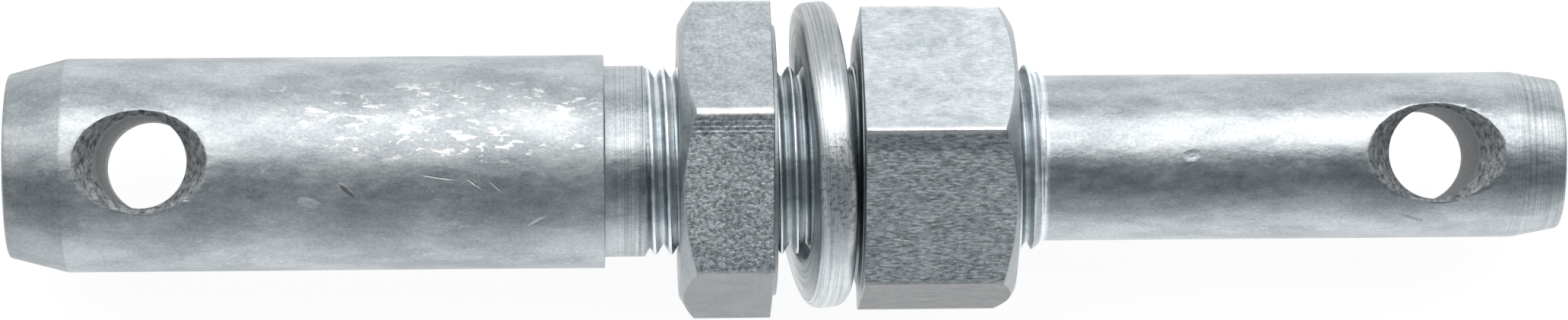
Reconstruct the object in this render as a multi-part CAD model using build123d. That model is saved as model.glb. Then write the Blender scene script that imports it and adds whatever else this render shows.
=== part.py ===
from build123d import *
import math
import os

# Double-ended implement pin for a tractor's lower links, with a jam nut, a lock washer and a
# full nut on its threaded middle. Millimetres. The row frame has its origin on the pin's axis
# at mid-length, +X along the axis towards the thin journal, and +Z along both cross holes.

# ---- driving dimensions: the turned pin ----
overall_length = 207.7
thick_diameter = 28.575        # Category 2 journal, 1 1/8 in
thick_length = 79.4            # from the thick end to the shoulder
thick_lead_length = 7.8
thick_tip_diameter = 24.5
thin_diameter = 22.225         # Category 1 journal, 7/8 in
thin_length = 69.6             # from the foot of the thread to the thin end
thin_lead_length = 6.3
thin_tip_diameter = 19.9
neck_step = 0.22               # radial, of the neck above the thread's crests

# ---- driving dimensions: cross holes for the linch pins ----
hole_diameter = 12.3
countersink_angle = 100.0
thick_hole_from_end = 18.2
thick_mouth_diameter = 17.5
thin_hole_from_end = 17.6
thin_mouth_diameter = 18.2

# ---- driving dimensions: the 1 in, 12 threads per inch thread ----
# Its grooves are rings of the thread's true section, so that the turned pin is one revolution.
pitch = 25.4 / 12
major_diameter = 25.17         # over the plated crests
thread_depth = 1.30
flank_angle = 30.0
root_flat = 0.35
neck_length = 6.35             # from the shoulder to the middle of the thread's relief groove
relief_flat = 0.4
relief_deeper = 0.06           # radial, below the thread's root
relief_angle = 40.0            # of the relief groove's sides, from square to the axis
foot_angle = 40.0              # of the cone at the thin journal, from the axis
crest_at = 0.35                # X of one crest; the others follow at the pitch
least_land = 0.1               # narrowest crest left beside the relief groove and the foot cone
nut_clearance = 0.22           # radial, between a nut's bore and the crests

# ---- driving dimensions: nuts ----
jam_across_flats = 38.1        # 1 1/2 in
full_across_flats = 37.6
nut_corner_radius = 0.8
nut_chamfer_angle = 30.0
nut_face_margin = 0.9          # radial, from the flats in to the rims of the two round faces
nut_mouth_margin = 0.6         # radial, from a nut's bore to the rim of its countersink
washer_face_height = 0.55
jam_height = 13.0
jam_seat_from_shoulder = 22.85
jam_turn = 14.8                # degrees of a corner from +Y towards +Z
full_height = 21.15
full_turn = 21.8

# ---- driving dimensions: split lock washer ----
washer_outer_diameter = 41.0
washer_bore_clearance = 1.1    # radial, around the thread's crests
washer_thickness = 5.1
washer_outer_round = 1.6
washer_inner_round = 0.7
washer_rise = 4.0              # how far the coil climbs in one turn, left-handed
washer_split = 3.0
washer_split_slant = 25.0
washer_lean_near = 4.6         # degrees: the +Z side leans towards +X
washer_lean_top = 5.4          # degrees: the +Y side leans towards -X
washer_lift = 0.7              # the loose washer hangs off centre, towards +Y
washer_shift = 0.6             # and nearer the full nut than the jam nut
washer_play = 5.65             # what the gap between the nuts has beyond the washer's thickness

# ---- derived places along the axis ----
thick_end = -overall_length / 2
thin_end = overall_length / 2
shoulder = thick_end + thick_length
thread_start = shoulder + neck_length
thread_end = thin_end - thin_length
jam_seat = shoulder + jam_seat_from_shoulder
nut_gap = washer_thickness + washer_play
full_seat = jam_seat + nut_gap

# ---- derived sizes around the thread ----
major_radius = major_diameter / 2
neck_diameter = major_diameter + 2 * neck_step
washer_inner_diameter = major_diameter + 2 * washer_bore_clearance
root_radius = major_radius - thread_depth
flank_slope = math.tan(math.radians(flank_angle))

# Everything is turned about local Z and then laid down: local z is +X, local x is +Y and
# local y is +Z, so a helix keeps its hand.
laid_down = Plane(origin=(0, 0, 0), x_dir=(0, 1, 0), z_dir=(1, 0, 0))


def turned(points):
    """A solid of revolution about local Z from (radius, height) points."""
    outline = Polyline(*[(r, z) for r, z in points], close=True)
    return revolve(Plane.XZ * make_face(outline), Axis.Z)


# ---- pin: one bar, turned, threaded and cross-drilled ----
def cross_hole(centre, mouth_diameter, journal_diameter):
    """The straight bore and the two countersinks, along local y, at a height on the axis."""
    reach = journal_diameter
    slope = math.tan(math.radians(countersink_angle / 2))
    bore_radius = hole_diameter / 2
    mouth_radius = mouth_diameter / 2
    surface = journal_diameter / 2
    straight = surface - (mouth_radius - bore_radius) / slope
    beyond = mouth_radius + (reach - surface) * slope
    half = [(0, 0), (bore_radius, 0), (bore_radius, straight), (beyond, reach), (0, reach)]
    cutter = turned(half)
    outward = Plane(origin=(0, 0, centre), x_dir=(1, 0, 0), z_dir=(0, 1, 0))
    inward = Plane(origin=(0, 0, centre), x_dir=(1, 0, 0), z_dir=(0, -1, 0))
    return outward * cutter + inward * cutter


def thread_grooves(first, last):
    """(radius, height) points of every whole groove between two heights, at the pitch."""
    half_root = root_flat / 2
    half_mouth = half_root + thread_depth * flank_slope
    lowest = math.ceil((first + least_land + half_mouth - crest_at) / pitch - 0.5)
    highest = math.floor((last - least_land - half_mouth - crest_at) / pitch - 0.5)
    points = []
    for turn in range(lowest, highest + 1):
        middle = crest_at + (turn + 0.5) * pitch
        points += [
            (major_radius, middle - half_mouth),
            (root_radius, middle - half_root),
            (root_radius, middle + half_root),
            (major_radius, middle + half_mouth),
        ]
    return points


def make_pin():
    thick, neck, thin = thick_diameter / 2, neck_diameter / 2, thin_diameter / 2
    relief = root_radius - relief_deeper
    relief_run = (major_radius - relief) * math.tan(math.radians(relief_angle))
    relief_low = thread_start - relief_flat / 2
    relief_high = thread_start + relief_flat / 2
    foot_start = thread_end - (major_radius - thin) / math.tan(math.radians(foot_angle))
    outline = [
        (0, thick_end),
        (thick_tip_diameter / 2, thick_end),
        (thick, thick_end + thick_lead_length),
        (thick, shoulder),
        (neck, shoulder),
        (neck, relief_low - relief_run - neck_step),
        (major_radius, relief_low - relief_run),
        (relief, relief_low),
        (relief, relief_high),
        (major_radius, relief_high + relief_run),
        *thread_grooves(relief_high + relief_run, foot_start),
        (major_radius, foot_start),
        (thin, thread_end),
        (thin, thin_end - thin_lead_length),
        (thin_tip_diameter / 2, thin_end),
        (0, thin_end),
    ]
    body = turned(outline)
    body -= cross_hole(thick_end + thick_hole_from_end, thick_mouth_diameter, thick_diameter)
    return body - cross_hole(thin_end - thin_hole_from_end, thin_mouth_diameter, thin_diameter)


# ---- nuts: forged hexagons, chamfered on one end, with a raised washer face on the other ----
def make_nut(seat, away, height, across_flats, turn):
    """A nut whose washer face is at height seat and whose chamfered end lies away (+1 or -1) from it."""
    hexagon = extrude(RegularPolygon(across_flats / 2, 6, major_radius=False), height)
    hexagon = fillet(hexagon.edges().filter_by(Axis.Z), nut_corner_radius)
    corner = across_flats / math.sqrt(3)
    face = across_flats / 2 - nut_face_margin
    drop = (corner - face) * math.tan(math.radians(nut_chamfer_angle))
    envelope = turned(
        [
            (0, 0),
            (face, 0),
            (face, washer_face_height),
            (corner, washer_face_height),
            (corner, height - drop),
            (face, height),
            (0, height),
        ]
    )
    nut = (Rot(0, 0, turn * away) * hexagon) & envelope
    low, high = sorted((seat, seat + away * height))
    nut = Pos(0, 0, seat) * (Rot(180, 0, 0) * nut if away < 0 else nut)
    bore = major_radius + nut_clearance
    mouth = bore + nut_mouth_margin
    countersink = turned([(0, -1), (mouth + 1, -1), (0, mouth)])
    nut -= Pos(0, 0, (low + high) / 2) * Cylinder(bore, 2 * height)
    nut -= Pos(0, 0, low) * countersink
    return nut - Pos(0, 0, high) * Rot(180, 0, 0) * countersink


# ---- lock washer: one left-handed turn of square wire, cut through on a slant ----
def make_lock_washer():
    mean_radius = (washer_outer_diameter + washer_inner_diameter) / 4
    width = (washer_outer_diameter - washer_inner_diameter) / 2
    # the bar stops short of a full turn, so that both ends lie inside the slanted slot
    short = washer_rise / 2 * math.tan(math.radians(washer_split_slant)) / mean_radius
    climb = washer_rise * (1 - short / math.pi)
    path = Helix(pitch=washer_rise, height=climb, radius=mean_radius, lefthand=True)
    bar = Rectangle(width, washer_thickness)
    bar = fillet(bar.vertices().group_by(Axis.X)[-1], washer_outer_round)
    bar = fillet(bar.vertices().group_by(Axis.X)[0], washer_inner_round)
    section = Plane(origin=path @ 0, x_dir=(1, 0, 0), z_dir=path % 0) * bar
    ring = sweep(section, path=path, is_frenet=True)
    ring = Pos(0, 0, -climb / 2) * Rot(0, 0, -math.degrees(short)) * ring
    slot = Box(washer_outer_diameter, washer_split, 4 * washer_thickness)
    ring -= Pos(washer_outer_diameter / 2, 0, 0) * Rot(-washer_split_slant, 0, 0) * slot
    # the split faces -Z, away from the side that leans towards the full nut
    ring = Rot(washer_lean_near, 0, 0) * Rot(0, washer_lean_top, 0) * Rot(0, 0, -90) * ring
    return Pos(washer_lift, 0, jam_seat + nut_gap / 2 + washer_shift) * ring


os.makedirs("parts", exist_ok=True)
pieces = {
    "pin": make_pin(),
    "jam_nut": make_nut(jam_seat, -1, jam_height, jam_across_flats, jam_turn),
    "lock_washer": make_lock_washer(),
    "full_nut": make_nut(full_seat, 1, full_height, full_across_flats, full_turn),
}
for name, piece in pieces.items():
    export_step(laid_down.location * piece, f"parts/{name}.step")
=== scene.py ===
import math
import bmesh
import bpy
import numpy as np
from mathutils import Matrix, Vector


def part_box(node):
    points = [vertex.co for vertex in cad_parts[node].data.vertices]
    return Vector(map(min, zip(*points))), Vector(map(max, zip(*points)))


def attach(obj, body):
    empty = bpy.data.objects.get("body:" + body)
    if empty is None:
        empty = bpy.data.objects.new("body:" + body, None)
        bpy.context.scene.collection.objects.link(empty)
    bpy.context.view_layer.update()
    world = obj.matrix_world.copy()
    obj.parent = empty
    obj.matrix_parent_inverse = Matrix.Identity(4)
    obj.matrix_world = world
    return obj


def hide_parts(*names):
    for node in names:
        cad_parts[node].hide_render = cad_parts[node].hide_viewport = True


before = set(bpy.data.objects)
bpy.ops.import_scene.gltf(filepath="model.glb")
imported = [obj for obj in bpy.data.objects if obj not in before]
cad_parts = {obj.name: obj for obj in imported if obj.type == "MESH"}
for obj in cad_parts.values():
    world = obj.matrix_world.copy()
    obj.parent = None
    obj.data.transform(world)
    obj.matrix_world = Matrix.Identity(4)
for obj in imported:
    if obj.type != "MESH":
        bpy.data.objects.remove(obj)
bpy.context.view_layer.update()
scene = bpy.context.scene
MM = 0.001

# ---- The table: one pale, evenly lit sheet under the lowest nut corner. The pin, its nuts and
# its washer lie loose on it.
FLOOR_SIDE = 24.0
FLOOR_BRIGHTNESS = 0.90
FLOOR_GREY = 0.20


def new_material(name):
    """A node material; returns it with its tree's nodes, its links and its Principled shader."""
    material = bpy.data.materials.new(name)
    material.use_nodes = True
    nodes = material.node_tree.nodes
    return material, nodes, material.node_tree.links, nodes["Principled BSDF"]


floor_height = min(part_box(name)[0].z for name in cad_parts)
floor_mesh = bpy.data.meshes.new("floor")
corners = [
    (x_side * FLOOR_SIDE / 2, y_side * FLOOR_SIDE / 2, floor_height)
    for x_side, y_side in ((-1, -1), (1, -1), (1, 1), (-1, 1))
]
floor_mesh.from_pydata(corners, [], [(0, 1, 2, 3)])
floor = bpy.data.objects.new("floor", floor_mesh)
scene.collection.objects.link(floor)
pale_floor, _, _, shader = new_material("pale_floor")
shader.inputs["Base Color"].default_value = (FLOOR_GREY, FLOOR_GREY, FLOOR_GREY, 1)
shader.inputs["Roughness"].default_value = 0.9
shader.inputs["Specular IOR Level"].default_value = 0.0
shader.inputs["Emission Color"].default_value = (1, 1, 1, 1)
shader.inputs["Emission Strength"].default_value = FLOOR_BRIGHTNESS
floor_mesh.materials.append(pale_floor)

# ---- The light: one long softbox on the +Y side and a studio that is dim on the -Y side, so
# that every round surface has a broad highlight above a dark band.
# degrees from straight up towards +Y, and the brightness there
STUDIO = [
    (-100, 0.66),
    (-74, 0.58),
    (-60, 0.46),
    (-48, 0.24),
    (-14, 0.17),
    (2, 0.38),
    (62, 0.82),
    (100, 0.82),
]
STUDIO_TINT = (1.05, 1.0, 0.97)      # powers: the dimmer parts are bluer
SOFTBOX_LEAN = 32.0
SOFTBOX_AWAY = 0.75
SOFTBOX_SIZE = (1.6, 0.67)
SOFTBOX_RADIANCE = 1.50
SOFTBOX_TINT = (1.0, 0.95, 0.92)

studio = bpy.data.worlds.new("studio")
studio.use_nodes = True
scene.world = studio
nodes = studio.node_tree.nodes
links = studio.node_tree.links
sky = nodes.new("ShaderNodeTexCoord")
split = nodes.new("ShaderNodeSeparateXYZ")
lean = nodes.new("ShaderNodeMath")
lean.operation = "ARCTAN2"
place = nodes.new("ShaderNodeMapRange")
place.inputs["From Min"].default_value = -math.pi
place.inputs["From Max"].default_value = math.pi
ramp = nodes.new("ShaderNodeValToRGB")
links.new(sky.outputs["Generated"], split.inputs[0])
links.new(split.outputs["Y"], lean.inputs[0])
links.new(split.outputs["Z"], lean.inputs[1])
links.new(lean.outputs[0], place.inputs["Value"])
links.new(place.outputs[0], ramp.inputs[0])
links.new(ramp.outputs[0], nodes["Background"].inputs["Color"])
for end, brightness in zip(ramp.color_ramp.elements, (STUDIO[0][1], STUDIO[-1][1])):
    end.color = (*(brightness**power for power in STUDIO_TINT), 1)
for angle, brightness in STUDIO:
    stop = ramp.color_ramp.elements.new((angle + 180) / 360)
    stop.color = (*(brightness**power for power in STUDIO_TINT), 1)

softbox = bpy.data.lights.new("softbox", "AREA")
softbox.shape = "RECTANGLE"
softbox.size, softbox.size_y = SOFTBOX_SIZE
softbox.color = SOFTBOX_TINT
softbox.energy = SOFTBOX_RADIANCE * math.pi * SOFTBOX_SIZE[0] * SOFTBOX_SIZE[1]
softbox_stand = bpy.data.objects.new("softbox", softbox)
softbox_lean = Matrix.Rotation(-math.radians(SOFTBOX_LEAN), 4, "X")
softbox_stand.matrix_world = softbox_lean @ Matrix.Translation((0, 0, SOFTBOX_AWAY))
softbox_stand.visible_camera = False
scene.collection.objects.link(softbox_stand)

# ---- The camera: 770 mm above the pin's axis, 2 degrees off the vertical, slightly left of the
# middle and turned back to it.
CAMERA_AWAY = 0.770
CAMERA_TILT = 2.0
CAMERA_LEFT = -0.028
CAMERA_YAW = 2.06
CAMERA_ROLL = 0.455
LENS = 131.68

camera_data = bpy.data.cameras.new("camera")
camera_data.sensor_width = 36.0
camera_data.lens = LENS
camera_data.clip_start = 0.01
camera_data.clip_end = 60.0
camera = bpy.data.objects.new("camera", camera_data)
tilt = Matrix.Rotation(math.radians(CAMERA_TILT), 4, "X")
over_the_pin = tilt @ Matrix.Translation((CAMERA_LEFT, 0, CAMERA_AWAY))
yaw = Matrix.Rotation(-math.radians(CAMERA_YAW), 4, "Y")
roll = Matrix.Rotation(-math.radians(CAMERA_ROLL), 4, "Z")
camera.matrix_world = over_the_pin @ (yaw @ roll)
scene.collection.objects.link(camera)
scene.camera = camera
scene.view_settings.view_transform = "Standard"

# ---- Pin: one carbon steel bar, turned to both journals, thread-rolled in the middle, drilled
# and countersunk across near each end, then zinc plated all over.
THICK_RADIUS = 14.2875
THICK_TIP_RADIUS = 12.25
THICK_LEAD = 7.8
THIN_RADIUS = 11.1125
THIN_TIP_RADIUS = 9.95
THIN_LEAD = 6.3
NECK_RADIUS = 12.805
THICK_LENGTH = 79.4
NECK_LENGTH = 6.35
THIN_LENGTH = 69.6
PITCH = 25.4 / 12
CREST_AT = 0.35
CREST_RADIUS = 12.585
ROOT_RADIUS = 11.285
CREST_HALF_WIDTH = 0.17
FLANK_SLOPE = 1 / math.tan(math.radians(30))
CREST_SOFTNESS = 0.14
RUN_IN = 1.0                   # the groove begins to sink this far before the thread's start
FOOT_SLOPE = math.tan(math.radians(40))
# where the points of one thread pitch lie, from the crest's middle
THREAD_STEPS = np.array([-0.5, -0.42, -0.29, -0.17, -0.11, -0.05, 0.05, 0.11, 0.17, 0.29, 0.42]) * PITCH
AROUND = 180
CORNER_CUT = 0.4
JOURNAL_STEP = 1.6
MERGE_WITHIN = 0.0002
SHARP_ANGLE = math.radians(38)

thick_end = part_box("pin")[0].x / MM
thin_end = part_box("pin")[1].x / MM
shoulder = thick_end + THICK_LENGTH
thread_start = shoulder + NECK_LENGTH
thread_end = thin_end - THIN_LENGTH


def softened(outline, cut, step):
    """Points along straight runs: each inner corner is a parabola that starts and ends cut from
    it, or a third of its shorter run, and the runs between are divided at most step apart."""
    outline = np.asarray(outline, float)
    pieces = [outline[:1]]
    across = np.linspace(0, 1, 5)[:, None]
    for before, corner, after in zip(outline[:-2], outline[1:-1], outline[2:]):
        reach = min(cut, np.linalg.norm(corner - before) / 3, np.linalg.norm(after - corner) / 3)
        first = corner + (before - corner) * reach / np.linalg.norm(before - corner)
        last = corner + (after - corner) * reach / np.linalg.norm(after - corner)
        pieces.append((1 - across) ** 2 * first + 2 * across * (1 - across) * corner + across**2 * last)
    pieces.append(outline[-1:])
    run = [pieces[0]]
    for before, after in zip(pieces[:-1], pieces[1:]):
        length = np.linalg.norm(after[0] - before[-1])
        share = np.linspace(0, 1, max(1, math.ceil(length / step)) + 1)[1:-1, None]
        run += [before[-1] + (after[0] - before[-1]) * share, after]
    return np.concatenate(run)


def smooth_least(a, b, blend):
    """The lesser of two arrays, rounded off where they come within blend of each other."""
    share = np.clip(0.5 + 0.5 * (b - a) / blend, 0, 1)
    return b + (a - b) * share - blend * share * (1 - share)


def thread_form(x, turn):
    """Radius of the thread at a place along the axis and an angle from +Y towards +Z: the crest's
    middle climbs one pitch a turn, and from it the section is crest, flank and root, all softened."""
    from_crest = x - CREST_AT - PITCH * turn / (2 * math.pi)
    from_crest = np.abs(from_crest - PITCH * np.round(from_crest / PITCH))
    flank = CREST_RADIUS - (from_crest - CREST_HALF_WIDTH) * FLANK_SLOPE
    flank = -smooth_least(-flank, np.full_like(flank, -ROOT_RADIUS), CREST_SOFTNESS)
    return smooth_least(flank, np.full_like(flank, CREST_RADIUS), CREST_SOFTNESS)


def helical_rows(low, high, turn):
    """Places along the axis, row by column, that climb one pitch a turn and stop at low and high."""
    first = math.floor((low - CREST_AT) / PITCH) - 2
    last = math.ceil((high - CREST_AT) / PITCH) + 1
    pitches = np.arange(first, last + 1)[:, None] * PITCH
    middles = (CREST_AT + pitches + THREAD_STEPS[None, :]).ravel()
    return np.clip(middles[:, None] + PITCH * turn[None, :] / (2 * math.pi), low, high)


def on_axis(x, radius, turn):
    """Points from places along X, radii and angles from +Y towards +Z."""
    x, radius, turn = np.broadcast_arrays(x, radius, turn)
    return np.stack([x, radius * np.cos(turn), radius * np.sin(turn)], axis=-1)


def skin(name, points, body, node, uv=None, marks=None):
    """A closed mesh from a grid of millimetre points: neighbours make quads, points that coincide
    are merged, and the object rides on its body in place of a CAD node. Marks are named numbers,
    one for each point, that its material reads."""
    rows, columns = points.shape[:2]
    index = np.arange(rows * columns).reshape(rows, columns)
    quads = np.stack([index[:-1, :-1], index[:-1, 1:], index[1:, 1:], index[1:, :-1]], axis=-1)
    quads = quads.reshape(-1, 4)
    mesh = bpy.data.meshes.new(name)
    mesh.vertices.add(rows * columns)
    mesh.vertices.foreach_set("co", (points * MM).ravel())
    mesh.loops.add(quads.size)
    mesh.loops.foreach_set("vertex_index", quads.ravel())
    mesh.polygons.add(len(quads))
    mesh.polygons.foreach_set("loop_start", np.arange(len(quads)) * 4)
    mesh.polygons.foreach_set("loop_total", np.full(len(quads), 4))
    mesh.update(calc_edges=True)
    if uv is not None:
        layer = mesh.uv_layers.new(name="along")
        layer.data.foreach_set("uv", uv.reshape(-1, 2)[quads.ravel()].ravel())
    for mark, values in (marks or {}).items():
        layer = mesh.attributes.new(mark, "FLOAT", "POINT")
        layer.data.foreach_set("value", values.astype(np.float32).ravel())
    shape = bmesh.new()
    shape.from_mesh(mesh)
    bmesh.ops.remove_doubles(shape, verts=shape.verts, dist=MERGE_WITHIN * MM)
    bmesh.ops.recalc_face_normals(shape, faces=shape.faces)
    shape.to_mesh(mesh)
    shape.free()
    mesh.shade_smooth()
    mesh.set_sharp_from_angle(angle=SHARP_ANGLE)
    piece = bpy.data.objects.new(name, mesh)
    scene.collection.objects.link(piece)
    if node:
        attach(piece, body)
        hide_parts(node)
    return piece


around = np.linspace(0, 2 * math.pi, AROUND + 1)
run_in = thread_start - RUN_IN
left = softened(
    [
        (thick_end, 0),
        (thick_end, THICK_TIP_RADIUS),
        (thick_end + THICK_LEAD, THICK_RADIUS),
        (shoulder - 0.35, THICK_RADIUS),
        (shoulder - 0.15, THICK_RADIUS + 0.05),
        (shoulder, THICK_RADIUS - 0.1),
        (shoulder, NECK_RADIUS + 0.12),
        (shoulder + 0.12, NECK_RADIUS),
        (run_in, NECK_RADIUS),
    ],
    CORNER_CUT,
    JOURNAL_STEP,
)
right = softened(
    [
        (thread_end, THIN_RADIUS),
        (thin_end - THIN_LEAD, THIN_RADIUS),
        (thin_end, THIN_TIP_RADIUS),
        (thin_end, 0),
    ],
    CORNER_CUT,
    JOURNAL_STEP,
)
thread_x = helical_rows(run_in, thread_end, around)
neck_side = NECK_RADIUS - (thread_x - run_in) * FLANK_SLOPE
thin_side = THIN_RADIUS + np.clip(thread_end - thread_x, 0, None) * FOOT_SLOPE
thread_radius = np.maximum(thread_form(thread_x, around[None, :]), neck_side)
thread_radius = smooth_least(thread_radius, thin_side, 0.05)
pin_points = np.concatenate(
    [
        on_axis(left[:, :1], left[:, 1:], around[None, :]),
        on_axis(thread_x, thread_radius, around[None, :]),
        on_axis(right[:, :1], right[:, 1:], around[None, :]),
    ]
)
bar = skin("turned_pin", pin_points, "pin", "pin")


class Finish:
    """A metal finish under construction: it adds nodes to one material and wires them up."""

    def __init__(self, name, roughness):
        self.material, self.nodes, self.links, self.shader = new_material(name)
        self.shader.inputs["Metallic"].default_value = 1.0
        self.shader.inputs["Roughness"].default_value = roughness
        self.place = self.nodes.new("ShaderNodeTexCoord").outputs["Object"]

    def noise(self, cell, detail=4.0, roughness=0.6, place=None, turn=(0, 0, 0)):
        """Noise whose cells measure cell millimetres along X, Y and Z, from 0 to 1."""
        mapping = self.nodes.new("ShaderNodeMapping")
        mapping.inputs["Rotation"].default_value = turn
        mapping.inputs["Scale"].default_value = [1 / (size * MM) for size in cell]
        self.links.new(place or self.place, mapping.inputs[0])
        texture = self.nodes.new("ShaderNodeTexNoise")
        texture.inputs["Scale"].default_value = 1.0
        texture.inputs["Detail"].default_value = detail
        texture.inputs["Roughness"].default_value = roughness
        self.links.new(mapping.outputs[0], texture.inputs["Vector"])
        return texture.outputs[0]

    def spot(self, centre, size, turn=(0, 0, 0)):
        """One at centre, falling to zero at an ellipsoid of that size, all in millimetres."""
        mapping = self.nodes.new("ShaderNodeMapping")
        mapping.vector_type = "TEXTURE"
        mapping.inputs["Location"].default_value = [value * MM for value in centre]
        mapping.inputs["Rotation"].default_value = turn
        mapping.inputs["Scale"].default_value = [value * MM for value in size]
        self.links.new(self.place, mapping.inputs[0])
        texture = self.nodes.new("ShaderNodeTexGradient")
        texture.gradient_type = "SPHERICAL"
        self.links.new(mapping.outputs[0], texture.inputs[0])
        return texture.outputs[1]

    def mark(self, name):
        """A number that each point of the mesh carries."""
        attribute = self.nodes.new("ShaderNodeAttribute")
        attribute.attribute_name = name
        return attribute.outputs["Fac"]

    def parts(self):
        """The three coordinates of a place on the piece, in metres."""
        parts = self.nodes.new("ShaderNodeSeparateXYZ")
        self.links.new(self.place, parts.inputs[0])
        return parts.outputs

    def stretch(self, value, low, high, to_low=0.0, to_high=1.0):
        """Maps low to high onto to_low to to_high and stops there."""
        node = self.nodes.new("ShaderNodeMapRange")
        limits = {"From Min": low, "From Max": high, "To Min": to_low, "To Max": to_high}
        for name, number in limits.items():
            node.inputs[name].default_value = number
        self.links.new(value, node.inputs["Value"])
        return node.outputs[0]

    def work(self, kind, first, second=0.0):
        """One arithmetic step on two sockets or numbers."""
        node = self.nodes.new("ShaderNodeMath")
        node.operation = kind
        for socket, value in zip(node.inputs, (first, second)):
            if isinstance(value, (int, float)):
                socket.default_value = value
            else:
                self.links.new(value, socket)
        return node.outputs[0]

    def total(self, *values):
        """The sum of several sockets or numbers."""
        result = values[0]
        for value in values[1:]:
            result = self.work("ADD", result, value)
        return result

    def times(self, *values):
        """The product of several sockets or numbers."""
        result = values[0]
        for value in values[1:]:
            result = self.work("MULTIPLY", result, value)
        return result

    def mix(self, share, first, second):
        """A colour between two colours or sockets."""
        node = self.nodes.new("ShaderNodeMix")
        node.data_type = "RGBA"
        self.links.new(share, node.inputs["Factor"])
        ends = [socket for socket in node.inputs if socket.type == "RGBA"]
        for socket, value in zip(ends, (first, second)):
            if isinstance(value, tuple):
                socket.default_value = (*value, 1)
            else:
                self.links.new(value, socket)
        return next(out for out in node.outputs if out.type == "RGBA")

    def scale(self, colour, factor):
        """A colour times a number."""
        node = self.nodes.new("ShaderNodeVectorMath")
        node.operation = "SCALE"
        self.links.new(colour, node.inputs[0])
        self.links.new(factor, node.inputs["Scale"])
        return node.outputs[0]

    def finish(self, colour, roughness, relief, depth):
        """Joins colour, roughness and a relief of that depth in millimetres to the shader."""
        self.links.new(colour, self.shader.inputs["Base Color"])
        self.links.new(roughness, self.shader.inputs["Roughness"])
        bump = self.nodes.new("ShaderNodeBump")
        bump.inputs["Strength"].default_value = 1.0
        bump.inputs["Distance"].default_value = depth * MM
        self.links.new(relief, bump.inputs["Height"])
        self.links.new(bump.outputs[0], self.shader.inputs["Normal"])
        return self.material


ZINC_DARK = (0.325, 0.366, 0.393)
ZINC_LIGHT = (0.650, 0.692, 0.716)
ZINC_BRIGHT = (0.95, 0.96, 0.965)

bar_finish = Finish("turned_zinc", 0.36)
x, y, z = bar_finish.parts()
from_axis = bar_finish.total(bar_finish.times(y, y), bar_finish.times(z, z))
from_axis = bar_finish.work("POWER", from_axis, 0.5)
mid_flank = (CREST_RADIUS + ROOT_RADIUS) / 2 * MM
off_flank = bar_finish.work("ABSOLUTE", bar_finish.work("SUBTRACT", from_axis, mid_flank))
clouds = bar_finish.noise((15, 6.5, 6.5), 5, 0.6)
mottle = bar_finish.noise((2.8, 1.3, 1.3), 6, 0.7)
speck = bar_finish.noise((0.42, 0.34, 0.34), 3, 0.65)
tone = bar_finish.total(
    bar_finish.stretch(clouds, 0.41, 0.60, 0, 0.52),
    bar_finish.stretch(mottle, 0.34, 0.66, 0, 0.28),
    bar_finish.stretch(speck, 0.32, 0.68, 0, 0.22),
)
colour = bar_finish.mix(tone, ZINC_DARK, ZINC_LIGHT)

# rubbed zinc on the thick journal: curled scratches and small bare flecks
rubbed = bar_finish.times(
    bar_finish.stretch(bar_finish.spot((-44, 5.0, 13), (27, 6.5, 14)), 0.04, 0.30),
    bar_finish.stretch(x, shoulder * MM, (shoulder - 0.6) * MM),
)
curl = bar_finish.noise((5.5, 2.6, 2.6), 2, 0.55, turn=(0, 0.3, 0.3))
curl = bar_finish.work("ABSOLUTE", bar_finish.work("SUBTRACT", curl, 0.5))
curls = bar_finish.times(
    bar_finish.stretch(curl, 0.020, 0.004, 0, 0.9),
    bar_finish.stretch(bar_finish.noise((4.5, 3, 3), 3, 0.6), 0.53, 0.60),
)
flecks = bar_finish.noise((3.0, 1.1, 1.1), 6, 0.66, turn=(0, 0.2, 0.2))
flecks = bar_finish.stretch(flecks, 0.570, 0.610)
rubs = bar_finish.times(bar_finish.work("MAXIMUM", curls, flecks), rubbed)
fret = bar_finish.times(
    bar_finish.stretch(bar_finish.noise((0.8, 0.5, 0.5), 5, 0.7), 0.57, 0.66, 0, 0.55),
    bar_finish.stretch(bar_finish.noise((10, 4, 4), 2, 0.5), 0.50, 0.66),
)
colour = bar_finish.mix(bar_finish.work("MAXIMUM", rubs, fret), colour, ZINC_BRIGHT)

# a dull lead on the thick end, turned rings on both tips and the neck, faced ends, and painted
# highlight lines on the thread's crests and roots with a little painted shade on its flanks
lead_end = thick_end + THICK_LEAD
tip = bar_finish.stretch(x, (lead_end + 0.2) * MM, (lead_end - 0.2) * MM)
thin_tip = bar_finish.stretch(x, (thin_end - 8.5) * MM, (thin_end - 6) * MM)
neck = bar_finish.times(
    bar_finish.stretch(x, (shoulder + 0.2) * MM, (shoulder + 4.0) * MM),
    bar_finish.stretch(x, (run_in + 0.2) * MM, (run_in - 0.3) * MM),
)
threaded = bar_finish.times(
    bar_finish.stretch(x, run_in * MM, (run_in + 0.4) * MM),
    bar_finish.stretch(x, (thread_end + 0.5) * MM, thread_end * MM),
)
lathe = bar_finish.noise((0.15, 45, 45), 2, 0.5)
turned_parts = bar_finish.total(
    bar_finish.times(thin_tip, 2.2),
    bar_finish.times(tip, 0.35),
    bar_finish.times(neck, 1.5),
)
faced = bar_finish.nodes.new("ShaderNodeCombineXYZ")
bar_finish.links.new(from_axis, faced.inputs[0])
facing = bar_finish.noise((0.28, 1, 1), 3, 0.6, place=faced.outputs[0])
from_mid_length = bar_finish.work("ABSOLUTE", x)
end_faces = bar_finish.stretch(from_mid_length, (thin_end - 0.25) * MM, (thin_end - 0.1) * MM)
rings = bar_finish.times(lathe, bar_finish.total(turned_parts, 0.14))
rings = bar_finish.total(rings, bar_finish.times(facing, end_faces))
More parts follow.
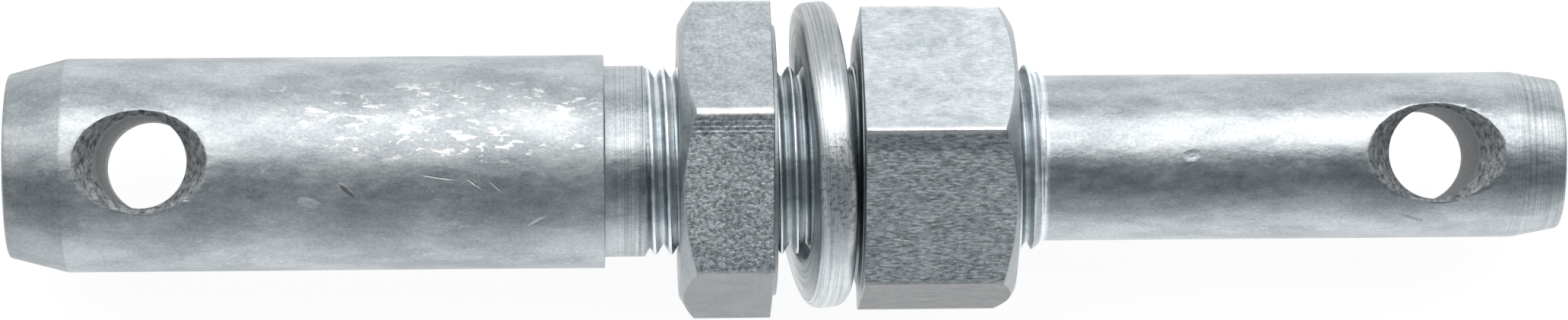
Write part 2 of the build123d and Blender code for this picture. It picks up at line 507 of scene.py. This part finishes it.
colour = bar_finish.scale(
    colour,
    bar_finish.total(
        bar_finish.times(tip, -0.16),
        bar_finish.times(bar_finish.stretch(lathe, 0.35, 0.6, -0.5, 0.1), neck),
        bar_finish.times(bar_finish.stretch(lathe, 0.36, 0.60, -0.26, 0.10), thin_tip),
        bar_finish.stretch(speck, 0.3, 0.7, 0.90, 1.06),
        # painted highlight: the thread's crests and roots are painted much lighter and its flanks a
        # little darker
        bar_finish.times(threaded, bar_finish.stretch(off_flank, 0.30 * MM, 0.58 * MM, -0.10, 0.80)),
    ),
)

# knocks from handling, a shallow bright one, a sharp dark one and some nicks: centre, size,
# turn about Z, how deep and how much brighter their colour is painted. That brightness is a painted
# reflection of the dented facet: painted highlight where it is above zero, painted shade below.
KNOCK_DEPTH = 2.2
KNOCKS = [
    ((-63.5, -5.6, 13.1), (1.9, 0.75, 3), -0.25, 1.0, 0.40),
    ((-58.4, -4.1, 13.7), (1.5, 0.42, 3), -0.75, -1.0, -0.55),
    ((-41.5, -3.3, 13.9), (1.7, 0.22, 3), -0.6, 1.0, -0.35),
    ((-46.3, -2.4, 14.0), (2.4, 0.20, 3), -0.15, 1.0, -0.35),
    ((-38.8, -3.6, 13.8), (1.4, 0.20, 3), -0.7, 1.0, -0.35),
    ((-33.5, -8.3, 11.6), (1.6, 0.28, 3), 0.5, 0.8, 0.35),
    ((53.5, -0.2, 11.1), (1.3, 0.8, 3), 0.2, 0.7, 0.25),
    ((83.5, -8.6, 7.0), (2.0, 0.22, 3), -0.3, 0.6, -0.25),
]
dents = bar_finish.times(rings, 0.55)
knock_painted_light = 1.0
for centre, size, slant, sink, painted_light_change in KNOCKS:
    mark = bar_finish.spot(centre, size, (0, 0, slant))
    dents = bar_finish.total(dents, bar_finish.stretch(mark, 0, 0.6, 0, -KNOCK_DEPTH * sink))
    # painted light: each knock's colour is painted lighter or darker, as its dented facet would reflect
    knock_painted_light = bar_finish.total(knock_painted_light, bar_finish.stretch(mark, 0.05, 0.35, 0, painted_light_change))
colour = bar_finish.scale(colour, knock_painted_light)
relief = bar_finish.total(
    dents,
    bar_finish.stretch(mottle, 0, 1, 0, 1.0),
    bar_finish.stretch(speck, 0, 1, 0, 0.50),
    bar_finish.stretch(bar_finish.noise((6.5, 2.8, 2.8), 2, 0.5), 0, 1, 0, 2.4),
)
dullness = bar_finish.total(
    bar_finish.stretch(mottle, 0.3, 0.7, 0.24, 0.40),
    bar_finish.stretch(x, shoulder * MM, (shoulder + 1) * MM, 0.10, 0.0),
    bar_finish.times(tip, 0.06),
)
BAR_RELIEF = 0.032
bar_zinc = bar_finish.finish(colour, dullness, relief, BAR_RELIEF)

# the cross holes: a straight bore with a countersink at each end
HOLE_RADIUS = 6.15
THICK_HOLE_FROM_END = 18.2
THICK_MOUTH_RADIUS = 8.75
THIN_HOLE_FROM_END = 17.6
THIN_MOUTH_RADIUS = 9.1
SINK_SLOPE = math.tan(math.radians(50))
MOUTH_SOFTNESS = 0.35
AROUND_HOLE = 160
OFF_GRID = 0.013               # radians: keeps the wall's points off the bar's own grid
SEAM_WITHIN = 0.001


def drill(name, x, journal_radius, mouth_radius, seed):
    """A closed cutter along Z: the bore, and at each end a cone whose rim is where it meets the
    round journal, found by repeating rim = mouth + drop x slope; the cone is rippled by chatter."""
    turn = np.linspace(0, 2 * math.pi, AROUND_HOLE + 1) + OFF_GRID
    rim = np.full_like(turn, mouth_radius)
    for _ in range(60):
        height = np.sqrt(journal_radius**2 - (rim * np.sin(turn)) ** 2)
        rim = 0.5 * rim + 0.5 * (mouth_radius + (height - journal_radius) * SINK_SLOPE)
    sink_depth = (rim - HOLE_RADIUS) / SINK_SLOPE
    foot = height - sink_depth
    share = np.linspace(0, 1, 16)[:, None]
    depth = (1 - share) * sink_depth
    radius = rim - depth * SINK_SLOPE
    phase = np.random.default_rng(seed).uniform(0, 2 * math.pi, 4)
    chatter = 0.05 * np.sin(17 * turn + 3.1 * depth + phase[0])
    chatter = chatter + 0.035 * np.sin(29 * turn - 5.3 * depth + phase[1])
    chatter = chatter + 0.05 * np.sin(5 * turn + phase[2]) * np.sin(2.2 * depth + phase[3])
    fading = np.sin(math.pi * share * 0.5)
    radius = radius + chatter * fading * np.clip((radius - HOLE_RADIUS) * 2, 0, 1)
    radius = radius + 0.5 * np.clip(MOUTH_SOFTNESS - depth, 0, None) ** 2 / MOUTH_SOFTNESS
    cone_height = foot + share * sink_depth
    outward_radius = radius[-1:] + np.array([[0.6], [1.2]])
    outward_height = cone_height[-1:] + np.array([[0.35], [3.0]])
    bore = np.linspace(-1, 1, 14)[1:-1, None] * foot
    upper_radius = np.concatenate([radius, outward_radius, 0 * turn[None, :]])
    lid_height = np.full_like(outward_height[-1:], journal_radius + 3.0)
    upper_height = np.concatenate([cone_height, outward_height, lid_height])
    all_radius = np.concatenate([upper_radius[::-1], np.full_like(bore, HOLE_RADIUS), upper_radius])
    all_height = np.concatenate([-upper_height[::-1], bore, upper_height])
    points = np.stack([x + all_radius * np.cos(turn), all_radius * np.sin(turn), all_height], axis=-1)
    return skin(name, points, None, None)


DRILLED_DARK = (0.075, 0.086, 0.095)
DRILLED_LIGHT = (0.46, 0.49, 0.51)
DRILLED_RELIEF = 0.10
drilled_finish = Finish("drilled_wall", 0.5)
drilled_finish.shader.inputs["Metallic"].default_value = 0.6
drilled_finish.shader.inputs["Specular IOR Level"].default_value = 0.15
torn = drilled_finish.noise((0.9, 0.9, 0.35), 6, 0.7)
grit = drilled_finish.noise((0.3, 0.3, 0.3), 4, 0.6)
from_middle = drilled_finish.work("ABSOLUTE", drilled_finish.parts()[2])
# painted shade: the bore's wall is painted darker deep in the hole, away from both mouths
bore_painted_shade = drilled_finish.stretch(from_middle, 6.5 * MM, 9.2 * MM, 0.22, 1.0)
tone = drilled_finish.times(drilled_finish.stretch(torn, 0.35, 0.68), bore_painted_shade)
colour = drilled_finish.mix(tone, DRILLED_DARK, DRILLED_LIGHT)
relief = drilled_finish.total(
    drilled_finish.stretch(torn, 0, 1, 0, 1.0), drilled_finish.stretch(grit, 0, 1, 0, 0.45)
)
dullness = drilled_finish.stretch(grit, 0.3, 0.7, 0.36, 0.6)
drilled_zinc = drilled_finish.finish(colour, dullness, relief, DRILLED_RELIEF)
bar.data.materials.append(bar_zinc)

for name, x, journal_radius, mouth_radius, seed in (
    ("thick_drill", thick_end + THICK_HOLE_FROM_END, THICK_RADIUS, THICK_MOUTH_RADIUS, 3),
    ("thin_drill", thin_end - THIN_HOLE_FROM_END, THIN_RADIUS, THIN_MOUTH_RADIUS, 5),
):
    cutter = drill(name, x, journal_radius, mouth_radius, seed)
    cutter.data.materials.append(drilled_zinc)
    cut = bar.modifiers.new(name, "BOOLEAN")
    cut.operation = "DIFFERENCE"
    cut.solver = "EXACT"
    cut.material_mode = "TRANSFER"
    cut.object = cutter
    drilled = bpy.data.meshes.new_from_object(bar.evaluated_get(bpy.context.evaluated_depsgraph_get()))
    bar.modifiers.clear()
    bar.data = drilled
    seam = bmesh.new()
    seam.from_mesh(drilled)
    bmesh.ops.remove_doubles(seam, verts=seam.verts, dist=SEAM_WITHIN * MM)
    seam.to_mesh(drilled)
    seam.free()
    bpy.data.objects.remove(cutter)

# ---- Jam nut: a thin hexagon of cold-forged steel, tapped 1 in, 12 threads per inch, with a raised
# washer face towards the lock washer and one chamfered end, zinc plated.
FACE_MARGIN = 0.9
WASHER_FACE_HEIGHT = 0.55
CHAMFER_SLOPE = math.tan(math.radians(30))
BORE_MOUTH_RADIUS = 13.405
NUT_MINOR_RADIUS = 11.70
NUT_MAJOR_RADIUS = 12.79
FLANK_GAP = 0.32
FLATS_ROWS = (16, 32)          # which rows of a nut's grid are its flats
# how bright each corner is painted in turn: partly worn bare zinc, partly a painted highlight
WORN_AND_LIT_CORNERS = (0.35, 1.0, 0.12, 0.5, 0.3, 0.4)
FAR_FROM_CORNER = 3.0          # what the edge mark says everywhere but on the flats
CORNER_REACH = 2.4             # degrees either side of a corner with close columns


def hexagon_radius(from_corner, across_flats, corner_round):
    """Distance from the axis to a hexagon at an angle from its nearest corner: the flat's
    apothem over the cosine, or the round corner's circle where the angle is small."""
    flat = across_flats / 2 / np.cos(math.pi / 6 - from_corner)
    centre = (across_flats / 2 - corner_round) / math.cos(math.pi / 6)
    corner = centre * np.cos(from_corner) + np.sqrt(
        np.clip(corner_round**2 - (centre * np.sin(from_corner)) ** 2, 0, None)
    )
    tangent = math.atan2(corner_round * 0.5, centre + corner_round * math.cos(math.pi / 6))
    return np.where(from_corner < tangent, corner, flat)


def nut_angles(turn, flat_columns=22):
    """Angles once round from a corner, close together at the round corners."""
    corner = np.array([-CORNER_REACH, -1.6, -1.0, -0.5, 0, 0.5, 1.0, 1.6, CORNER_REACH])
    flat = np.linspace(CORNER_REACH, 60 - CORNER_REACH, flat_columns)[1:-1]
    sector = np.concatenate([corner, flat])
    whole = (np.arange(6)[:, None] * 60 + sector[None, :]).ravel()
    whole = np.append(whole, 360 - CORNER_REACH)
    return np.radians(turn + whole), np.radians(whole)


def nut_skin(
    name, node, seat, away, height, across_flats, turn, face_taper, corner_round, wear, finish
):
    """One closed grid: along the seat face, its rim, the hexagon's end, the flats, the chamfer,
    the far face, and back through the tapped bore. Rows are profile steps, close together where
    an edge is rounded off, and columns are angles. Its marks say how far a place is from the
    corners, how far its nearest corner is worn bare and painted bright as a highlight, and what
    the finish gives to its flat."""
    angle, from_start = nut_angles(turn)
    from_corner = np.abs((from_start + math.pi / 6) % (math.pi / 3) - math.pi / 6)
    hexagon = hexagon_radius(from_corner, across_flats, corner_round)
    face = across_flats / 2 - FACE_MARGIN
    one = np.ones_like(angle)
    rows = []

    def row(high, radius):
        rows.append((high * one, radius * one))

    for radius in np.linspace(BORE_MOUTH_RADIUS, face - face_taper - 0.15, 6):
        row(0.0, radius)
    row(0.02, face - face_taper - 0.04)
    row(0.07, face - face_taper + 0.02)
    row(WASHER_FACE_HEIGHT - 0.16, face - 0.02)
    row(WASHER_FACE_HEIGHT - 0.06, face)
    row(WASHER_FACE_HEIGHT, face + 0.08)
    for share in (0.3, 0.65, 1.0):
        row(WASHER_FACE_HEIGHT, face + 0.08 + (hexagon - 0.2 - face - 0.08) * share)
    row(WASHER_FACE_HEIGHT + 0.03, hexagon - 0.07)
    row(WASHER_FACE_HEIGHT + 0.09, hexagon - 0.015)
    top = height - (hexagon - face) * CHAMFER_SLOPE
    for share in np.linspace(0, 1, 16):
        high = WASHER_FACE_HEIGHT + 0.18 + (top - 0.12 - WASHER_FACE_HEIGHT - 0.18) * share
        rows.append((high, hexagon - wear(high, angle)))
    end_wear = wear(top, angle)
    rows.append((top - 0.02, hexagon - 0.02 - end_wear))
    rows.append((top + 0.06, hexagon - 0.12 - end_wear))
    for share in (0.25, 0.5, 0.75, 0.94):
        radius = hexagon + (face - hexagon) * share
        rows.append((top + (height - top) * share, radius - end_wear * (1 - share)))
    row(height - 0.02, face - 0.12)
    for radius in np.linspace(face - 0.35, BORE_MOUTH_RADIUS, 6):
        row(height, radius)
    high = np.array([r[0] for r in rows])
    radius = np.array([r[1] for r in rows])
    outside = on_axis(seat + away * high, radius, angle[None, :])
    low_x, high_x = sorted((seat, seat + away * height))
    bore_x = helical_rows(low_x, high_x, angle)
    tapped = thread_form(bore_x, angle[None, :]) + FLANK_GAP
    tapped = np.clip(tapped, NUT_MINOR_RADIUS, NUT_MAJOR_RADIUS)
    sink = np.maximum(BORE_MOUTH_RADIUS - (bore_x - low_x), BORE_MOUTH_RADIUS - (high_x - bore_x))
    bore = on_axis(bore_x, np.maximum(tapped, sink), angle[None, :])
    if away > 0:
        bore = bore[::-1]
    points = np.concatenate([outside, bore, outside[:1]])
    flat = np.floor(from_start / (math.pi / 3) + 1e-6).astype(int) % 6
    on_flats = np.zeros((len(points), 1))
    on_flats[FLATS_ROWS[0] : FLATS_ROWS[1]] = 1
    marks = {
        mark: on_flats * np.array(by_flat)[flat] + (1 - on_flats) * elsewhere
        for mark, (by_flat, elsewhere) in finish.items()
    }
    from_corner = from_start % (math.pi / 3) * across_flats / 2
    edge = np.minimum(from_corner, math.pi / 3 * across_flats / 2 - from_corner)
    nearest = np.round(from_start / (math.pi / 3)).astype(int) % 6
    marks["from_corner"] = np.ones_like(on_flats) * from_corner
    marks["wear_and_highlight"] = on_flats * np.array(WORN_AND_LIT_CORNERS)[nearest]
    marks["edge"] = on_flats * edge + (1 - on_flats) * FAR_FROM_CORNER
    return skin(name, points, node, node, marks=marks)


def unworn(high, angle):
    """No wear at any height and angle."""
    return 0 * angle


jam_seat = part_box("jam_nut")[1].x / MM
jam_height = jam_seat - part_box("jam_nut")[0].x / MM
JAM_ACROSS_FLATS = 38.1
JAM_TURN = 14.8
JAM_CORNER_ROUND = 1.2
# each mark's value on the six flats in turn from the first corner, and on everything else; the
# second mark is painted light: the flat towards the softbox is painted lighter, those turned away darker
JAM_PEBBLES_AND_LIGHT = {
    "pebble": ((0.26, 1.0, 0.06, 0.5, 0.2, 0.9), 0.05),
    "painted_flat_light": ((1.02, 0.90, 0.52, 0.9, 0.8, 0.9), 0.74),
}
jam_nut = nut_skin(
    "tapped_jam_nut",
    "jam_nut",
    jam_seat,
    -1,
    jam_height,
    JAM_ACROSS_FLATS,
    JAM_TURN,
    0.0,
    JAM_CORNER_ROUND,
    unworn,
    JAM_PEBBLES_AND_LIGHT,
)
RIB_STEP = 0.55                # from one drawing groove to the next


def nut_zinc(name, pebbles, depth, grooves):
    """Zinc on a forged hexagon: each flat has its own painted light, lighter or darker as it faces
    the softbox, and its own depth of pebbles, which the mesh carries as marks; drawing grooves run
    along the bar beside each corner, as deep as its flat is pebbled."""
    look = Finish(name, 0.4)
    clouds = look.noise((8, 5, 5), 5, 0.62)
    mottle = look.noise((1.9, 1.4, 1.4), 6, 0.66)
    speck = look.noise((0.36, 0.30, 0.30), 3, 0.65)
    coarse = look.noise(pebbles, 4, 0.62)
    pebble = look.mark("pebble")
    tone = look.total(
        look.stretch(clouds, 0.36, 0.64, 0, 0.34),
        look.stretch(mottle, 0.36, 0.64, 0, 0.30),
        look.stretch(speck, 0.3, 0.7, 0, 0.36),
    )
    grain = look.stretch(coarse, 0.38, 0.62, -0.42, 0.50)
    grain = look.times(grain, look.stretch(pebble, 0, 1, 0.12, 1))
    # painted light: each flat's painted brightness from its mark, varied by the pebbles' grain
    painted_flat_light = look.times(look.mark("painted_flat_light"), look.total(grain, 1.0))
    colour = look.scale(look.mix(tone, ZINC_DARK, ZINC_LIGHT), painted_flat_light)
    edge = look.mark("edge")
    patchy = look.stretch(mottle, 0.34, 0.5, 0.45, 1.0)
    # the corners are painted bright zinc: partly real wear, partly a painted highlight
    wear_and_highlight = look.times(look.stretch(edge, 0.62, 0.30), patchy, look.mark("wear_and_highlight"))
    colour = look.mix(wear_and_highlight, colour, ZINC_BRIGHT)
    from_corner = look.mark("from_corner")
    beside = look.times(look.stretch(from_corner, 0.75, 0.95), look.stretch(from_corner, 2.7, 2.45))
    ribs = look.work("SINE", look.times(from_corner, 2 * math.pi / RIB_STEP))
    ribs = look.times(look.times(ribs, beside), look.times(pebble, grooves))
    off_edge = look.stretch(edge, 0.3, 0.8)
    rough_part = look.times(look.stretch(from_corner, 1.6, 3.0, 0.2, 1.0), off_edge)
    relief = look.total(
        look.times(coarse, pebble, rough_part),
        look.stretch(speck, 0, 1, 0, 0.13),
        look.stretch(mottle, 0, 1, 0, 0.16),
        ribs,
    )
    dull = look.total(
        look.stretch(mottle, 0.3, 0.7, 0.28, 0.42),
        look.stretch(pebble, 0, 0.2, -0.04, 0.04),
        look.times(wear_and_highlight, -0.10),
    )
    return look.finish(colour, dull, relief, depth)


jam_nut.data.materials.append(nut_zinc("pebbled_zinc", (0.55, 0.46, 0.46), 0.22, 0.10))

# ---- Lock washer: one left-handed turn of spring steel wire, rolled to a rounded section, split
# on a slant and plated; it stands loose between the nuts and leans.
WASHER_OUTER = 20.5
WASHER_INNER = 13.685
WASHER_THICKNESS = 5.1
WASHER_OUTER_ROUND = 1.6
WASHER_INNER_ROUND = 0.7
WASHER_RISE = 4.0
WASHER_SPLIT = 3.0
WASHER_SLANT = math.radians(25)
WASHER_LEAN_NEAR = math.radians(4.6)
WASHER_LEAN_TOP = math.radians(5.4)
WASHER_LIFT = 0.7
WASHER_SHIFT = 0.6
WASHER_STEPS = 181
ENDS_CLOSE = np.array([0.0, 0.5, 0.9])

full_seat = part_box("full_nut")[0].x / MM
middle_x = (jam_seat + full_seat) / 2 + WASHER_SHIFT


def rounded_section(inner, outer, thickness, inner_round, outer_round):
    """Radius and height round a rectangle whose corners are quarter circles, ten steps each."""
    half = thickness / 2
    quarter = np.linspace(0, math.pi / 2, 10)
    corners = [
        (outer - outer_round, half - outer_round, outer_round, 0),
        (inner + inner_round, half - inner_round, inner_round, 1),
        (inner + inner_round, inner_round - half, inner_round, 2),
        (outer - outer_round, outer_round - half, outer_round, 3),
    ]
    parts = []
    for centre_radius, centre_height, size, quadrant in corners:
        turn = quarter + quadrant * math.pi / 2
        parts.append(np.stack([centre_radius + size * np.cos(turn), centre_height + size * np.sin(turn)]))
    gap = np.linspace(0, 1, 7)[1:-1]
    run = []
    for part, after in zip(parts, parts[1:] + parts[:1]):
        run += [part, part[:, -1:] + (after[:, :1] - part[:, -1:]) * gap]
    return np.concatenate(run + [parts[0][:, :1]], axis=1)


section = rounded_section(
    WASHER_INNER, WASHER_OUTER, WASHER_THICKNESS, WASHER_INNER_ROUND, WASHER_OUTER_ROUND
)
centre = np.array([[(WASHER_INNER + WASHER_OUTER) / 2], [0.0]])
shares = np.concatenate([np.zeros(3), np.linspace(0, 1, WASHER_STEPS), np.ones(3)])
scales = np.concatenate([ENDS_CLOSE, np.ones(WASHER_STEPS), ENDS_CLOSE[::-1]])
radius = centre[0] + (section[0] - centre[0]) * scales[:, None]
offset = section[1] * scales[:, None]
half_split = WASHER_SPLIT / 2 / math.cos(WASHER_SLANT)
slope = math.tan(WASHER_SLANT)
start = ((WASHER_RISE / 2 + offset) * slope + half_split) / radius
stop = 2 * math.pi + ((offset - WASHER_RISE / 2) * slope - half_split) / radius
turn = start + (stop - start) * shares[:, None]
across = radius * np.sin(turn)
upward = -radius * np.cos(turn)
along = WASHER_RISE / 2 - WASHER_RISE * turn / (2 * math.pi) + offset
across, along = (
    across * math.cos(WASHER_LEAN_TOP) + along * math.sin(WASHER_LEAN_TOP),
    along * math.cos(WASHER_LEAN_TOP) - across * math.sin(WASHER_LEAN_TOP),
)
upward, along = (
    upward * math.cos(WASHER_LEAN_NEAR) - along * math.sin(WASHER_LEAN_NEAR),
    along * math.cos(WASHER_LEAN_NEAR) + upward * math.sin(WASHER_LEAN_NEAR),
)
RING_RADIUS = 17
ROUND_SECTION = 22
round_section = np.linspace(0, 1, section.shape[1])[None, :] * np.ones_like(turn)
washer_uv = np.stack([turn * RING_RADIUS * MM, round_section * ROUND_SECTION * MM], axis=-1)
washer = skin(
    "lock_washer_coil",
    np.stack([middle_x + along, WASHER_LIFT + across, upward], axis=-1),
    "lock_washer",
    "lock_washer",
    washer_uv,
)

WASHER_DARK = (0.37, 0.415, 0.445)
WASHER_LIGHT = (0.90, 0.935, 0.955)
PIT = (0.19, 0.21, 0.225)
WASHER_RELIEF = 0.07
washer_finish = Finish("drawn_zinc", 0.34)
around_ring = washer_finish.nodes.new("ShaderNodeUVMap")
around_ring.uv_map = "along"
drawn = washer_finish.noise((20, 0.42, 1), 5, 0.68, place=around_ring.outputs[0])
pits = washer_finish.noise((0.7, 0.7, 0.7), 5, 0.7)
clouds = washer_finish.noise((8, 6, 6), 4, 0.6)
tone = washer_finish.total(
    washer_finish.stretch(drawn, 0.41, 0.59, 0, 0.6),
    washer_finish.stretch(clouds, 0.38, 0.62, 0, 0.2),
    washer_finish.stretch(pits, 0.36, 0.64, 0, 0.2),
)
pitted = washer_finish.spot((8, -4, 20), (7, 9, 9))
pit_share = washer_finish.times(
    washer_finish.stretch(pits, 0.50, 0.56, 0, 0.75),
    washer_finish.stretch(pitted, 0.05, 0.4),
)
colour = washer_finish.mix(tone, WASHER_DARK, WASHER_LIGHT)
# painted shade: the washer's colour is painted darker towards +Y, its side under the softbox
painted_shade_plus_y = washer_finish.stretch(washer_finish.parts()[1], 7 * MM, 15 * MM, 1.0, 0.66)
colour = washer_finish.mix(pit_share, washer_finish.scale(colour, painted_shade_plus_y), PIT)
dullness = washer_finish.stretch(pits, 0.3, 0.7, 0.26, 0.40)
relief = washer_finish.total(
    washer_finish.stretch(drawn, 0, 1, 0, 1.0), washer_finish.stretch(pits, 0, 1, 0, 0.55)
)
washer.data.materials.append(washer_finish.finish(colour, dullness, relief, WASHER_RELIEF))

# ---- Full nut: a thick forged hexagon, tapped like the jam nut; its washer face has a tapered rim
# and one far corner is worn flat.
full_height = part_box("full_nut")[1].x / MM - full_seat
FULL_ACROSS_FLATS = 37.6
FULL_TURN = 21.8
FULL_FACE_TAPER = 1.2
FULL_CORNER_ROUND = 0.5
WEAR_DEPTH = 0.32
WEAR_HALF_ANGLE = 0.10
WEAR_MIDDLE = 17.2
WEAR_HALF_HEIGHT = 2.6


def full_nut_wear(high, angle):
    """A flat worn on the corner that faces +Y, deepest at the far end: a bell over the angle
    times a bell along the height."""
    from_top = (angle - math.radians(FULL_TURN) + math.pi) % (2 * math.pi) - math.pi
    around_corner = np.exp(-((from_top / WEAR_HALF_ANGLE) ** 2))
    return WEAR_DEPTH * around_corner * np.exp(-(((high - WEAR_MIDDLE) / WEAR_HALF_HEIGHT) ** 2))


# the second mark is painted light: the top flat painted lightest, the bottom flat darkest
FULL_PEBBLES_AND_LIGHT = {
    "pebble": ((0.10, 1.0, 0.05, 0.6, 0.2, 0.8), 0.05),
    "painted_flat_light": ((1.42, 0.84, 0.27, 0.9, 1.0, 0.9), 0.74),
}
full_nut = nut_skin(
    "tapped_full_nut",
    "full_nut",
    full_seat,
    1,
    full_height,
    FULL_ACROSS_FLATS,
    FULL_TURN,
    FULL_FACE_TAPER,
    FULL_CORNER_ROUND,
    full_nut_wear,
    FULL_PEBBLES_AND_LIGHT,
)
full_nut.data.materials.append(nut_zinc("streaked_zinc", (1.05, 0.30, 0.30), 0.17, 0.0))
